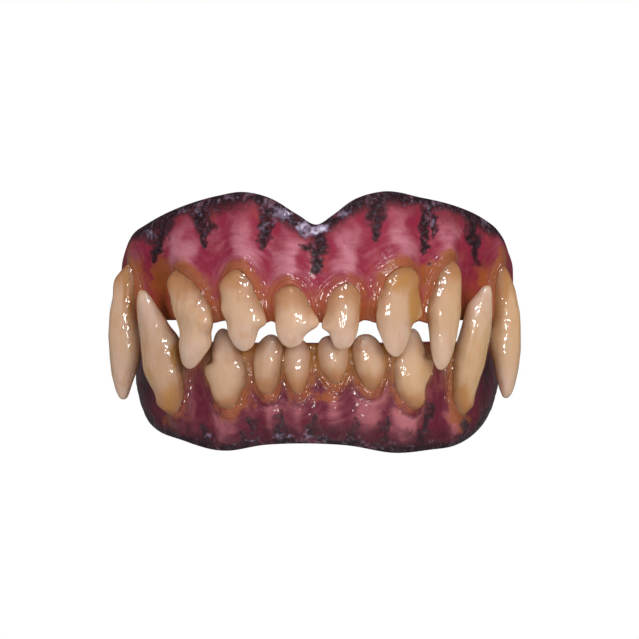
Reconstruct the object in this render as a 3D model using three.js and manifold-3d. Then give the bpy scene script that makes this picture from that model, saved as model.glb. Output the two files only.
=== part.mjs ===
// Wolf costume teeth: an upper and a lower gum plate in bite position, each with eight teeth set in its face.
// Each plate is a channel that follows the dental arch and fits over the wearer's own row of teeth.
// Millimetres and degrees. Seen from the front, +X is to the right, +Y runs back into the mouth and +Z is up.
// The origin is on the midline, halfway between the plates, at the edges of the wearer's front teeth.
import * as THREE from "three";
import { mergeVertices } from "three/addons/utils/BufferGeometryUtils.js";
import Module from "manifold-3d";

const wasm = await Module();
wasm.setup();

// Walls of both plates, measured outwards from the arch line, which is the middle of the channel
const FACE_OUT = 7.8;
const WALL = 2.6;
const BACK_INNER = -5;
const BACK_OUTER = -7;
const FLOOR = 1.8;

// Relief of the gum face
const RIM_ROLL = 1.1;
const ROLL_FROM = 0.66;
const RIM_BACK_DROP = 0.4;
const RIDGE = 0.9;
const RIDGE_SPREAD = 0.66;
const HOLLOW_FULL_TO = 0.35;
const HOLLOW_ENDS_AT = 0.7;
const SWELL_FROM = 52;
const SWELL_FULL_AT = 72;

// Teeth in their sockets
const SOCKET_GAP = 0.4;
const NECK_OUT = 0.2;
const THICKEST = 0.42;
const NECK_FULLNESS = 2;
const SHOULDER_RISE = 0.34;
const SHOULDER_DROP = 0.14;
const SHOULDER_FLAT = 0.04;

// Fineness of the meshes
const STATIONS = 58;
const FACE_ROWS = 9;
const TOOTH_SIDES = 12;
const TOOTH_RINGS = 13;
const SMALLEST_RING = 1e-6;
const MERGE_WITHIN = 1e-4;

const GUM = { color: "#a24a5c", roughness: 0.28, metalness: 0 };
const TOOTH = { color: "#cba57c", roughness: 0.22, metalness: 0 };

// A plate has the arch line's half width and depth, how far the line is set back, the height of its biting
// edge and of its back wall from the bite plane, where it ends and how far its face swells there, the height
// of its rim at stations along the arch, and the hollows that a fang of the other plate passes through.
const UPPER = {
  name: "upper",
  up: 1,
  halfWidth: 26.3,
  depth: 36,
  setBack: 0,
  biteEdge: 1.8,
  backHeight: 9.4,
  endStation: 80,
  endSwell: 0.4,
  rim: table("station height", [
    [-80, 14.6],
    [-70, 16.6],
    [-62, 17.7],
    [-51, 19.3],
    [-40, 20.8],
    [-28, 22.2],
    [-20, 22.7],
    [-12, 21.5],
    [-5, 18.9],
    [0, 17.3],
    [4, 18.8],
    [9, 21.1],
    [17, 22.7],
    [30, 21.9],
    [45, 20.5],
    [55, 19.2],
    [62, 18.0],
    [70, 16.4],
    [80, 14.2],
  ]),
  hollows: table("station depth spread", [
    [-53, 1.6, 9],
    [51, 1.7, 9],
  ]),
};

const LOWER = {
  name: "lower",
  up: -1,
  halfWidth: 23.8,
  depth: 34,
  setBack: 3.2,
  biteEdge: 1.9,
  backHeight: 7.6,
  endStation: 80,
  endSwell: 0.45,
  rim: table("station height", [
    [-80, 11.8],
    [-70, 15.2],
    [-60, 17.1],
    [-47, 18.2],
    [-27, 19.7],
    [-15, 18.6],
    [-4, 18.3],
    [8, 18.6],
    [23, 20.0],
    [36, 19.7],
    [45, 19.4],
    [56, 18.1],
    [65, 16.2],
    [72, 14.4],
    [80, 12.0],
  ]),
  hollows: [],
};

// A tooth is placed by the station of its neck and the heights of neck and tip. Lean and bow shift its tip
// and its middle along the arch, belly and out give how far its middle and tip stand out from the gum face.
// Widest is the share of its length, from the neck, where it is broadest, and fullness the roundness of its
// tip. Left and right are shoulders that widen it on either side as far as the step.
const TOOTH_COLUMNS =
  "name station neck tip lean bow belly out width thick widest fullness left right step";

const UPPER_TEETH = table(TOOTH_COLUMNS, [
  ["canine_left", -64, 11.7, -11.8, -1.6, 0, 1.7, 1.5, 5.6, 5.3, 0.62, 1.8, 0, 0, 0.5],
  ["corner_incisor_left", -38.8, 10.3, -6.2, 3.5, 2.2, 1.3, 1.3, 7.1, 4.6, 0.44, 1.9, 0, 1.3, 0.52],
  ["middle_incisor_left", -19.8, 10.7, -3.2, 1.5, 0, 1.3, 1.5, 6.1, 4.2, 0.52, 2, 0, 0.9, 0.62],
  ["central_incisor_left", -6.4, 8.1, -2.6, 0.3, -0.1, 1.2, 1.5, 5.0, 4.0, 0.56, 2.4, 0, 1.3, 0.66],
  ["central_incisor_right", 7.3, 8.4, -3.0, -0.9, 0, 1.2, 1.5, 4.8, 4.0, 0.54, 2.1, 1.2, 0, 0.64],
  ["middle_incisor_right", 21.7, 11.1, -4.1, -1.7, -0.5, 1.3, 1.5, 6.2, 4.3, 0.5, 1.9, 0.8, 1.4, 0.54],
  ["corner_incisor_right", 37, 12.0, -6.4, -3.1, -0.6, 1.3, 1.3, 5.6, 4.5, 0.5, 1.9, 1.0, 0, 0.48],
  ["canine_right", 62.2, 11.5, -11.5, 0.4, 0, 1.4, 1.4, 5.4, 5.1, 0.62, 1.8, 0, 0, 0.5],
]);

const LOWER_TEETH = table(TOOTH_COLUMNS, [
  ["canine_left", -44.9, -14.1, 6.8, -2.6, 0.4, 2.6, 5.5, 7.4, 5.6, 0.5, 1.6, 0, 0, 0.5],
  ["corner_incisor_left", -26, -11.7, 0.4, -0.4, 1.3, 0.9, 0.5, 6.2, 4.0, 0.52, 1.7, 1.5, 0, 0.46],
  ["middle_incisor_left", -13.2, -9.8, -0.6, 0.7, 0, 0.9, 0.5, 4.8, 3.8, 0.6, 2, 0, 0, 0.5],
  ["central_incisor_left", -5.2, -10.0, -1.4, 0.2, 0, 0.9, 0.5, 4.2, 3.8, 0.62, 2.2, 0, 0, 0.5],
  ["central_incisor_right", 4.4, -9.0, -0.7, -0.3, 0, 0.9, 0.5, 5.0, 3.8, 0.66, 2.2, 0, 0, 0.5],
  ["middle_incisor_right", 14.6, -9.5, -0.5, -1.2, 0, 0.9, 0.5, 5.4, 3.8, 0.6, 2, 0, 0, 0.5],
  ["corner_incisor_right", 26.2, -12.7, 0.4, 0.4, -0.6, 0.9, 0.5, 6.0, 4.0, 0.5, 1.6, 0, 1.3, 0.56],
  ["canine_right", 45.2, -13.8, 7.6, 0.5, -0.1, 2.7, 5.8, 6.2, 5.0, 0.5, 1.7, 0, 0, 0.5],
]);

// Turns rows of values into records with the named columns.
function table(columns, rows) {
  const names = columns.split(" ");
  return rows.map((row) => Object.fromEntries(row.map((value, i) => [names[i], value])));
}

// The arch at a station: a point of its line in plan, the way out from it and the way along it.
function archFrame(plate, station) {
  const angle = THREE.MathUtils.degToRad(station);
  const sin = Math.sin(angle);
  const cos = Math.cos(angle);
  const outward = new THREE.Vector3(sin / plate.halfWidth, -cos / plate.depth, 0).normalize();
  return {
    point: new THREE.Vector3(plate.halfWidth * sin, plate.setBack + plate.depth * (1 - cos), 0),
    outward,
    along: new THREE.Vector3(-outward.y, outward.x, 0),
  };
}

function archPoint(frame, along, out, z) {
  const point = frame.point.clone();
  point.addScaledVector(frame.along, along).addScaledVector(frame.outward, out);
  return point.setZ(z);
}

function bell(offset, spread) {
  return Math.exp(-((offset / spread) ** 2));
}

// How far the gum face stands out at a share of its height, from 0 at the biting edge to 1 at the rim:
// a ridge over the root of each tooth, hollows for the other plate's fangs, a swell towards the ends of the
// arch, and a rim that rolls back.
function faceOut(plate, teeth, station, share) {
  let out = FACE_OUT;
  for (const tooth of teeth) {
    const rootward = Math.sqrt(Math.sin(Math.PI * share));
    out += RIDGE * rootward * bell(station - tooth.station, RIDGE_SPREAD * tooth.width);
  }
  for (const hollow of plate.hollows) {
    const lowPart = 1 - THREE.MathUtils.smoothstep(share, HOLLOW_FULL_TO, HOLLOW_ENDS_AT);
    out -= hollow.depth * lowPart * bell(station - hollow.station, hollow.spread);
  }
  out += plate.endSwell * THREE.MathUtils.smoothstep(Math.abs(station), SWELL_FROM, SWELL_FULL_AT);
  const roll = Math.max(0, (share - ROLL_FROM) / (1 - ROLL_FROM));
  return out - RIM_ROLL * roll ** 2;
}

// The height of a plate's rim at any station, by a smooth curve through its table.
function rimHeight(plate, station) {
  const stations = plate.rim.map((row) => row.station);
  const heights = plate.rim.map((row) => row.height);
  return new THREE.CubicInterpolant(stations, Float32Array.from(heights), 1).evaluate(station)[0];
}

// One section of the channel: up the gum face, down inside it, across the floor, round the back wall.
function plateSection(plate, teeth, station) {
  const rim = rimHeight(plate, station);
  const floor = plate.biteEdge + FLOOR;
  const inner = FACE_OUT - WALL;
  const section = [];
  for (let row = 0; row <= FACE_ROWS; row += 1) {
    const share = row / FACE_ROWS;
    const height = THREE.MathUtils.lerp(plate.biteEdge, rim, share);
    section.push(new THREE.Vector2(faceOut(plate, teeth, station, share), height));
  }
  section.push(new THREE.Vector2(inner, rim - RIM_BACK_DROP));
  section.push(new THREE.Vector2(inner, (floor + rim) / 2));
  section.push(new THREE.Vector2(inner, floor));
  section.push(new THREE.Vector2(BACK_INNER, floor));
  section.push(new THREE.Vector2(BACK_INNER, plate.backHeight));
  section.push(new THREE.Vector2(BACK_OUTER, plate.backHeight));
  section.push(new THREE.Vector2(BACK_OUTER, plate.biteEdge));
  return section;
}

// Joins equal closed sections along the arch and closes both ends.
function loftPlate(plate, teeth) {
  const stations = [];
  for (let i = 0; i <= STATIONS; i += 1) {
    stations.push(THREE.MathUtils.lerp(-plate.endStation, plate.endStation, i / STATIONS));
  }
  const sections = stations.map((station) => plateSection(plate, teeth, station));
  const positions = sections.flatMap((section, i) => {
    const frame = archFrame(plate, stations[i]);
    return section.flatMap((corner) => archPoint(frame, 0, corner.x, plate.up * corner.y).toArray());
  });
  const size = sections[0].length;
  const index = [];
  for (let ring = 0; ring < STATIONS; ring += 1) {
    for (let corner = 0; corner < size; corner += 1) {
      const here = ring * size + corner;
      const beside = ring * size + ((corner + 1) % size);
      index.push(here, here + size, beside + size, here, beside + size, beside);
    }
  }
  const last = STATIONS * size;
  for (const [a, b, c] of THREE.ShapeUtils.triangulateShape(sections[0], [])) {
    index.push(a, b, c);
  }
  for (const [a, b, c] of THREE.ShapeUtils.triangulateShape(sections[STATIONS], [])) {
    index.push(last + a, last + c, last + b);
  }
  const geometry = new THREE.BufferGeometry();
  geometry.setAttribute("position", new THREE.Float32BufferAttribute(positions, 3));
  geometry.setIndex(plate.up > 0 ? index : index.reverse());
  return geometry;
}

// Rounds off from 0 at an end to 1 at the widest place, by a superellipse.
function swell(share, fullness) {
  return (1 - (1 - share) ** fullness) ** (1 / fullness);
}

function profile(share, widest, fullness) {
  if (share < widest) {
    return swell(share / widest, NECK_FULLNESS);
  }
  return swell((1 - share) / (1 - widest), fullness);
}

// How far a shoulder is out at a share of the tooth: it rises slowly from the neck and drops at its step.
function shoulderShare(tooth, share) {
  const rise = THREE.MathUtils.smoothstep(share, tooth.step - SHOULDER_RISE, tooth.step - SHOULDER_FLAT);
  const drop = THREE.MathUtils.smoothstep(share, tooth.step, tooth.step + SHOULDER_DROP);
  return rise * (1 - drop);
}

// A tooth is a sphere drawn out along a bent spine from its neck to its tip. The extra size is added all
// round, which turns a tooth into the cutter for its own socket.
function toothGeometry(plate, tooth, extra) {
  const frame = archFrame(plate, tooth.station);
  const neck = new THREE.Vector3(0, FACE_OUT + NECK_OUT, tooth.neck + plate.up * extra);
  const tip = new THREE.Vector3(tooth.lean, FACE_OUT + tooth.out, tooth.tip - plate.up * extra);
  const middle = new THREE.Vector3(tooth.lean / 2 + tooth.bow, FACE_OUT + tooth.belly, 0);
  const control = middle.multiplyScalar(2).addScaledVector(neck, -0.5).addScaledVector(tip, -0.5);
  control.z = (neck.z + tip.z) / 2;
  const spine = new THREE.QuadraticBezierCurve3(neck, control, tip);
  const geometry = new THREE.SphereGeometry(1, TOOTH_SIDES, TOOTH_RINGS);
  geometry.deleteAttribute("normal");
  geometry.deleteAttribute("uv");
  const position = geometry.getAttribute("position");
  const unit = new THREE.Vector3();
  for (let i = 0; i < position.count; i += 1) {
    unit.fromBufferAttribute(position, i);
    const polar = Math.acos(THREE.MathUtils.clamp(unit.y, -1, 1));
    const share = polar / Math.PI / 2 + (1 - Math.cos(polar)) / 4;
    const ring = Math.max(Math.sin(polar), SMALLEST_RING);
    const sideways = (plate.up * unit.x) / ring;
    const forwards = unit.z / ring;
    const reach = (sideways > 0 ? tooth.right : tooth.left) * shoulderShare(tooth, share);
    const round = Math.sqrt(Math.sin(polar)) * extra;
    const halfWidth = (tooth.width / 2) * profile(share, tooth.widest, tooth.fullness) + reach + round;
    const halfThick = (tooth.thick / 2) * profile(share, THICKEST, tooth.fullness) + round;
    const centre = spine.getPoint(share);
    const along = centre.x + sideways * halfWidth;
    const out = centre.y + forwards * halfThick;
    const place = archPoint(frame, along, out, centre.z);
    position.setXYZ(i, place.x, place.y, place.z);
  }
  return mergeVertices(geometry, MERGE_WITHIN);
}

function solidOf(geometry) {
  const vertProperties = Float32Array.from(geometry.getAttribute("position").array);
  const triVerts = Uint32Array.from(geometry.index.array);
  return new wasm.Manifold(new wasm.Mesh({ numProp: 3, vertProperties, triVerts }));
}

function geometryOf(solid) {
  const mesh = solid.getMesh();
  const geometry = new THREE.BufferGeometry();
  geometry.setAttribute("position", new THREE.BufferAttribute(mesh.vertProperties, 3));
  geometry.setIndex(new THREE.BufferAttribute(mesh.triVerts, 1));
  return geometry;
}

function namedMesh(name, geometry, finish) {
  const mesh = new THREE.Mesh(geometry, new THREE.MeshStandardMaterial(finish));
  mesh.name = name;
  return mesh;
}

// A gum plate with its sockets cut, and its eight teeth.
function plateGroup(plate, teeth) {
  const group = new THREE.Group();
  let gum = solidOf(loftPlate(plate, teeth));
  for (const tooth of teeth) {
    gum = gum.subtract(solidOf(toothGeometry(plate, tooth, SOCKET_GAP)));
    group.add(namedMesh(`${plate.name}_${tooth.name}`, toothGeometry(plate, tooth, 0), TOOTH));
  }
  group.add(namedMesh(`${plate.name}_gum_plate`, geometryOf(gum), GUM));
  return group;
}

const wolfTeeth = new THREE.Group();
wolfTeeth.add(plateGroup(UPPER, UPPER_TEETH));
wolfTeeth.add(plateGroup(LOWER, LOWER_TEETH));

export default wolfTeeth;
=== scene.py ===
# %% [markdown]
# # Wolf costume teeth
# A set of acrylic costume teeth: two gum plates in bite position, each with eight teeth set in its painted
# face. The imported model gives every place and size, so this lesson starts by loading it and only then adds
# what a painter and a polisher would add: round teeth, soft gum margins, stains, pigment and varnish.

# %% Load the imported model
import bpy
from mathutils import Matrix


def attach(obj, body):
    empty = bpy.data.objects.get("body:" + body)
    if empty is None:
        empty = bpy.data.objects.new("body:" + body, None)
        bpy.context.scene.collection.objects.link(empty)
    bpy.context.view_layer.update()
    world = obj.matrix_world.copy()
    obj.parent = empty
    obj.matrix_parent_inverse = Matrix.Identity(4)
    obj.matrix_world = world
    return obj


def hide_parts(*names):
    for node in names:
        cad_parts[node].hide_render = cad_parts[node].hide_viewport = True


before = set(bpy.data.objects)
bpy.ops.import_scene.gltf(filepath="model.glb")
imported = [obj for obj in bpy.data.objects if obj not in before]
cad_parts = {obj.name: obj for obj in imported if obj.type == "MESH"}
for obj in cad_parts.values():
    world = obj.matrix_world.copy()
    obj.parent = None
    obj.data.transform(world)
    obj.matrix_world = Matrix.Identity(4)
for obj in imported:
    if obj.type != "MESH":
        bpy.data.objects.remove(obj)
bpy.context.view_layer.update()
print("nodes:", len(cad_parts))

# %% Tools that the whole lesson uses
import math

import bmesh
import bpy
import numpy as np
from mathutils import Vector, noise
from mathutils.bvhtree import BVHTree

MM = 0.001

# %% [markdown]
# ## The teeth
# On the real set each tooth is cast, tinted and polished, so it is round and a little wavy along its length.
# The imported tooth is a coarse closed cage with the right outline. A copy of it is merged, subdivided with
# the smooth option, which keeps the cage's corners and rounds the space between them, and evened out.

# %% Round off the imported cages
TOOTH_NAMES = ("canine", "corner_incisor", "middle_incisor", "central_incisor")
TOOTH_CUTS = 4


def round_tooth(node_name):
    bm = bmesh.new()
    bm.from_mesh(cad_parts[node_name].data)
    bmesh.ops.remove_doubles(bm, verts=bm.verts, dist=0.002 * MM)
    bmesh.ops.scale(bm, vec=(1 / MM,) * 3, verts=bm.verts)
    bmesh.ops.join_triangles(
        bm, faces=bm.faces, angle_face_threshold=math.pi, angle_shape_threshold=math.pi
    )
    bmesh.ops.subdivide_edges(
        bm, edges=bm.edges, cuts=TOOTH_CUTS, smooth=1.0, smooth_falloff="LINEAR", use_grid_fill=True
    )
    for _ in range(4):
        bmesh.ops.smooth_vert(
            bm, verts=bm.verts, factor=0.5, use_axis_x=True, use_axis_y=True, use_axis_z=True
        )
    bm.normal_update()
    return bm


teeth = {}
for jaw in ("upper", "lower"):
    for side in ("left", "right"):
        for kind in TOOTH_NAMES:
            node_name = f"{jaw}_{kind}_{side}"
            teeth[node_name] = round_tooth(node_name)
print("teeth:", len(teeth), "faces each:", {len(bm.faces) for bm in teeth.values()})

# %% [markdown]
# ### Lobes
# A wolf's incisor is not a plain cone: small side lobes stand off its main point with a notch between. They
# are pulled out here the way a sculptor's grab brush works, which moves the surface and keeps it whole. A
# grab has a middle in front view, a reach, and how far it pulls sideways and up, all in millimetres. A pinch
# makes a neck narrower, or wider where its share is below nought. Last, each tooth swells a little and its
# front is pressed a little flatter.

# %% Chart the lobes and necks
GRABS = {
    "upper_canine_left": ((-30.6, -4.0, 3.5, 0.8, 0.0),),
    "upper_corner_incisor_left": ((-22.4, 0.4, 2.4, 0.8, 0.0), (-17.4, -2.2, 2.4, 0.9, 0.0)),
    "upper_middle_incisor_left": (
        (-15.1, 3.6, 1.2, -0.3, 0.0), (-14.4, 1.4, 1.0, 0.3, 0.0), (-8.6, 1.9, 1.3, 0.5, -0.4),
    ),
    "upper_central_incisor_left": (
        (-1.6, 4.4, 1.4, 0.5, 0.0), (-1.0, 2.0, 1.6, 0.9, -0.3), (-6.0, 7.2, 1.0, 0.2, 0.0),
    ),
    "upper_central_incisor_right": ((2.3, 4.6, 1.3, -0.4, 0.0), (1.4, 1.6, 1.2, -0.1, -0.6)),
    "upper_middle_incisor_right": (
        (16.6, 2.6, 1.0, 0.2, -0.2), (14.9, 0.9, 1.0, -0.3, 0.0), (9.4, 3.4, 1.2, 0.3, 0.0),
        (10.2, 0.9, 1.4, -0.4, 0.0),
    ),
    "upper_canine_right": ((29.4, -2.0, 3.0, -0.3, 0.0),),
    "lower_canine_left": (
        (-23.1, -1.1, 1.9, 0.8, 0.0), (-21.6, -9.6, 2.4, 0.1, 0.0), (-27.8, -7.0, 3.6, -0.7, 0.0),
        (-22.0, -12.6, 1.6, 0.5, -0.3),
    ),
    "lower_corner_incisor_left": (
        (-17.5, -4.9, 0.9, 0.5, 0.0), (-18.3, -6.4, 0.9, 0.0, 0.4), (-11.0, -8.0, 2.2, 0.8, 0.0),
        (-14.2, -11.4, 2.2, 0.5, -1.8),
    ),
    "lower_middle_incisor_left": ((-7.6, -9.6, 2.0, 0.0, -0.8),),
    "lower_central_incisor_left": ((-2.8, -9.6, 2.0, 0.0, -0.6),),
    "lower_middle_incisor_right": ((8.8, -9.4, 2.0, 0.0, -0.5),),
    "lower_corner_incisor_right": (
        (18.0, -4.3, 0.8, -0.4, 0.0), (18.8, -5.4, 0.8, 0.1, 0.4), (13.0, -5.0, 1.8, -1.1, 0.0),
        (16.4, -12.4, 1.6, 0.0, -0.4),
    ),
    "lower_canine_right": ((25.1, 4.6, 2.6, -0.8, 0.0), (22.8, -13.2, 1.8, 0.3, -0.3)),
}
PINCHES = {
    "upper_canine_left": (-30.2, 9.0, 2.0, -0.2),
    "upper_corner_incisor_left": (-21.2, 8.0, 2.2, -0.3),
    "upper_middle_incisor_left": (-11.8, 7.8, 2.2, -0.3),
    "upper_central_incisor_left": (-4.2, 6.6, 2.0, -0.35),
    "upper_central_incisor_right": (5.0, 6.6, 2.0, -0.4),
    "upper_middle_incisor_right": (13.0, 9.0, 2.2, -0.45),
    "upper_corner_incisor_right": (21.6, 9.6, 2.2, -0.25),
    "lower_canine_left": (-22.4, -12.6, 1.5, -0.3),
    "lower_corner_incisor_left": (-11.0, -11.0, 1.6, -0.1),
    "lower_middle_incisor_left": (-7.6, -9.4, 2.0, -0.1),
    "lower_central_incisor_left": (-2.8, -9.6, 2.0, 0.15),
    "lower_central_incisor_right": (3.3, -9.0, 2.0, 0.4),
    "lower_middle_incisor_right": (8.8, -9.4, 2.2, 0.15),
    "lower_corner_incisor_right": (13.6, -11.8, 1.6, -0.2),
    "lower_canine_right": (23.0, -12.7, 1.5, -0.35),
}
SWELLING = {"upper": 0.06, "lower": 0.14}
FLATTENING = {"incisor": 0.3, "canine": 0.1}
print("grabs:", sum(len(pulls) for pulls in GRABS.values()), "pinches:", len(PINCHES))

# %% Grab, pinch, swell and flatten the teeth


def grab(bm, x, z, reach, sideways, upwards):
    for vert in bm.verts:
        hold = math.exp(-((vert.co.x - x) ** 2 + (vert.co.z - z) ** 2) / reach**2)
        vert.co.x += sideways * hold
        vert.co.z += upwards * hold


def flatten(bm, depth):
    for vert in bm.verts:
        frontness = min(max((-vert.normal.y - 0.3) / 0.7, 0.0), 1.0)
        vert.co.y += depth * frontness**2 * (3 - 2 * frontness)


def pinch(bm, x, z, reach, share):
    for vert in bm.verts:
        vert.co.x += (x - vert.co.x) * share * math.exp(-(((vert.co.z - z) / reach) ** 2))


for name, bm in teeth.items():
    for pull in GRABS.get(name, ()):
        grab(bm, *pull)
    if name in PINCHES:
        pinch(bm, *PINCHES[name])
    bm.normal_update()
    for vert in bm.verts:
        vert.co += vert.normal * SWELLING[name.split("_")[0]]
    flatten(bm, FLATTENING["incisor" if "incisor" in name else "canine"])
    bm.normal_update()
print("shaped teeth:", len(teeth))

# %% [markdown]
# ### Waves in the enamel
# Cast teeth carry shallow flutes that run from neck to tip and a few flat dents from polishing. Each point
# moves a few hundredths of a millimetre along its normal, by a noise that is stretched along the tooth.

# %% Press flutes and dents into the teeth
FLUTE_DEPTH = 0.06
FLUTE_SCALE = Vector((0.75, 0.75, 0.10))
DENT_DEPTH = 0.08
DENT_SCALE = 0.42


def press_waves(bm, seed):
    offset = Vector((seed * 7.3, seed * 3.1, seed * 1.7))
    for vert in bm.verts:
        flute = noise.noise(vert.co * FLUTE_SCALE + offset)
        dent = noise.noise(vert.co * DENT_SCALE + offset)
        vert.co += vert.normal * (FLUTE_DEPTH * flute + DENT_DEPTH * dent)


for seed, bm in enumerate(teeth.values()):
    press_waves(bm, seed)
    bm.normal_update()
print("flutes and dents pressed into", len(teeth), "teeth")

# %% [markdown]
# ## The dental arch
# Each plate is a channel that follows a dental arch, half an ellipse in plan. A station is the angle along
# that ellipse. These are the arch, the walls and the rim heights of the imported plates, in millimetres, and a
# place on a plate is then a station, a way out from the arch line and a height from the bite plane.

# %% Sizes of the two plates
FACE_OUT, INNER_OUT, BACK_INNER, BACK_OUTER = 7.8, 5.2, -5.0, -7.0
FLOOR_THICK = 1.8
RIM_ROLL, RIM_BACK_DROP, ROLL_FROM = 1.1, 0.4, 0.66
ROOT_RIDGE, RIDGE_SPREAD = 0.9, 0.66
SWELL_FROM, SWELL_FULL_AT = 52, 72

UPPER = dict(
    name="upper",
    up=1,
    half_width=26.3,
    depth=36.0,
    set_back=0.0,
    bite_edge=1.8,
    back_height=9.4,
    end_swell=0.4,
    rim=(
        (-80, 14.6), (-70, 16.6), (-62, 17.7), (-51, 19.3), (-40, 20.8), (-28, 22.2), (-20, 22.7),
        (-12, 21.5), (-5, 18.9), (0, 17.3), (4, 18.8), (9, 21.1), (17, 22.7), (30, 21.9), (45, 20.5),
        (55, 19.2), (62, 18.0), (70, 16.4), (80, 14.2),
    ),
    roots=(
        (-64, 5.6), (-38.8, 7.1), (-19.8, 6.1), (-6.4, 5.0), (7.3, 4.8), (21.7, 6.2), (37, 5.6), (62.2, 5.4),
    ),
    hollows=((-53, 1.6, 9), (51, 1.7, 9)),
)
LOWER = dict(
    name="lower",
    up=-1,
    half_width=23.8,
    depth=34.0,
    set_back=3.2,
    bite_edge=1.9,
    back_height=7.6,
    end_swell=0.45,
    rim=(
        (-80, 11.8), (-70, 15.2), (-60, 17.1), (-47, 18.2), (-27, 19.7), (-15, 18.6), (-4, 18.3), (8, 18.6),
        (23, 20.0), (36, 19.7), (45, 19.4), (56, 18.1), (65, 16.2), (72, 14.4), (80, 12.0),
    ),
    roots=(
        (-44.9, 7.4), (-26, 6.2), (-13.2, 4.8), (-5.2, 4.2),
        (4.4, 5.0), (14.6, 5.4), (26.2, 6.0), (45.2, 6.2),
    ),
    hollows=(),
)
GRID_END = 79.5
print("rim points:", len(UPPER["rim"]), len(LOWER["rim"]))

# %% Curves and places along the arch


def smooth_step(value, low, high):
    share = np.clip((value - low) / (high - low), 0.0, 1.0)
    return share * share * (3.0 - 2.0 * share)


def bell(offset, spread):
    return np.exp(-((offset / spread) ** 2))


def smooth_through(points, at):
    """A smooth curve through a short table of (place, value) pairs."""
    places, values = np.array(points, float).T
    slopes = np.gradient(values, places)
    spot = np.clip(np.searchsorted(places, at) - 1, 0, len(places) - 2)
    span = places[spot + 1] - places[spot]
    share = (at - places[spot]) / span
    rise = values[spot + 1] - values[spot]
    lead = slopes[spot] * span - rise
    trail = rise - slopes[spot + 1] * span
    return values[spot] + share * rise + share * (1 - share) * ((1 - share) * lead + share * trail)


def arch_place(plate, station, out):
    """The x and y of a place that lies a way out from the arch line."""
    angle = np.radians(station)
    across, ahead = np.sin(angle) / plate["half_width"], -np.cos(angle) / plate["depth"]
    length = np.hypot(across, ahead)
    x = plate["half_width"] * np.sin(angle) + out * across / length
    y = plate["set_back"] + plate["depth"] * (1 - np.cos(angle)) + out * ahead / length
    return x, y


print("middle of the upper face:", [float(v) for v in arch_place(UPPER, 0.0, FACE_OUT)])

# %% [markdown]
# ## The gum plates
# A plate is one closed skin. A flat grid is bent round it: its columns run along the arch and its rows run
# round the channel, up the painted face, over the rim, down inside, across the floor and round the back
# wall. Most rows lie on the face, because that is where the margins, wrinkles and pigment are.

# %% Bend a grid into a channel
COLUMNS = 560
FACE_ROWS = 122
PAINT_WEIGHTS = ("painted", "pigment", "fleck_and_reflection", "stain", "depth", "pale", "margin", "shade")


def face_out(plate, station, share):
    out = np.full(np.broadcast(station, share).shape, FACE_OUT)
    for root, width in plate["roots"]:
        bulge = np.sqrt(np.sin(np.pi * np.clip(share, 0, 1)))
        out = out + ROOT_RIDGE * bulge * bell(station - root, RIDGE_SPREAD * width)
    for place, depth, spread in plate["hollows"]:
        out = out - depth * (1 - smooth_step(share, 0.35, 0.7)) * bell(station - place, spread)
    out = out + plate["end_swell"] * smooth_step(np.abs(station), SWELL_FROM, SWELL_FULL_AT)
    roll = np.clip((share - ROLL_FROM) / (1 - ROLL_FROM), 0, 1)
    return out - RIM_ROLL * roll**2


def leg(start, end, steps):
    """Rows from one corner of the channel to the next, closer together near the corners."""
    share = (1 - np.cos(np.pi * np.arange(steps) / steps)) / 2
    return start + (end - start) * share


def channel_rows(plate, station):
    """Out and height of every row of the channel at these stations."""
    station = station[:, None]
    flat = np.zeros_like(station)
    rim = smooth_through(plate["rim"], station)
    share = np.arange(FACE_ROWS)[None, :] / FACE_ROWS
    floor = plate["bite_edge"] + FLOOR_THICK
    corners = (
        (face_out(plate, station, np.ones_like(station)), rim, 6),
        (flat + INNER_OUT, rim - RIM_BACK_DROP, 10),
        (flat + INNER_OUT, flat + floor, 8),
        (flat + BACK_INNER, flat + floor, 6),
        (flat + BACK_INNER, flat + plate["back_height"], 5),
        (flat + BACK_OUTER, flat + plate["back_height"], 6),
        (flat + BACK_OUTER, flat + plate["bite_edge"], 9),
        (face_out(plate, station, np.zeros_like(station)), flat + plate["bite_edge"], 1),
    )
    outs = [face_out(plate, station, share)]
    heights = [plate["bite_edge"] + (rim - plate["bite_edge"]) * share]
    for (out, height, steps), (next_out, next_height, _) in zip(corners, corners[1:]):
        outs.append(leg(out, next_out, steps))
        heights.append(leg(height, next_height, steps))
    outs.append(corners[-1][0])
    heights.append(corners[-1][1])
    return np.hstack(outs), np.hstack(heights)


def bend_grid(plate):
    stations = np.linspace(-GRID_END, GRID_END, COLUMNS + 1)
    outs, heights = channel_rows(plate, stations)
    rows = outs.shape[1]
    x, y = arch_place(plate, stations[:, None], outs)
    bm = bmesh.new()
    bmesh.ops.create_grid(bm, x_segments=COLUMNS, y_segments=rows - 1, size=1.0)
    column = np.rint([(vert.co.x + 1) / 2 * COLUMNS for vert in bm.verts]).astype(int)
    row = np.rint([(vert.co.y + 1) / 2 * (rows - 1) for vert in bm.verts]).astype(int)
    places = np.stack([x, y, plate["up"] * heights], axis=-1)[column, row]
    column_of = bm.verts.layers.int.new("column")
    row_of = bm.verts.layers.int.new("row")
    for title in PAINT_WEIGHTS:
        bm.verts.layers.float.new(title)
    for vert, place, c, r in zip(bm.verts, places, column, row):
        vert.co = place
        vert[column_of] = c
        vert[row_of] = r
    bmesh.ops.remove_doubles(bm, verts=bm.verts, dist=0.001)
    bmesh.ops.recalc_face_normals(bm, faces=bm.faces)
    return bm, rows


gums = {}
for plate in (UPPER, LOWER):
    gums[plate["name"]], plate["rows"] = bend_grid(plate)
    print(plate["name"], "gum:", len(gums[plate["name"]].verts), "points,", plate["rows"], "rows")

# %% [markdown]
# ### Round corners
# Acrylic plates are ground and polished until no edge is sharp. Smoothing only the rows near the corners
# rounds the rim, the biting edge and the channel, and leaves the face as it is.

# %% Polish the corners
CORNER_ROWS = 4
CORNER_PASSES = 6


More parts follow.
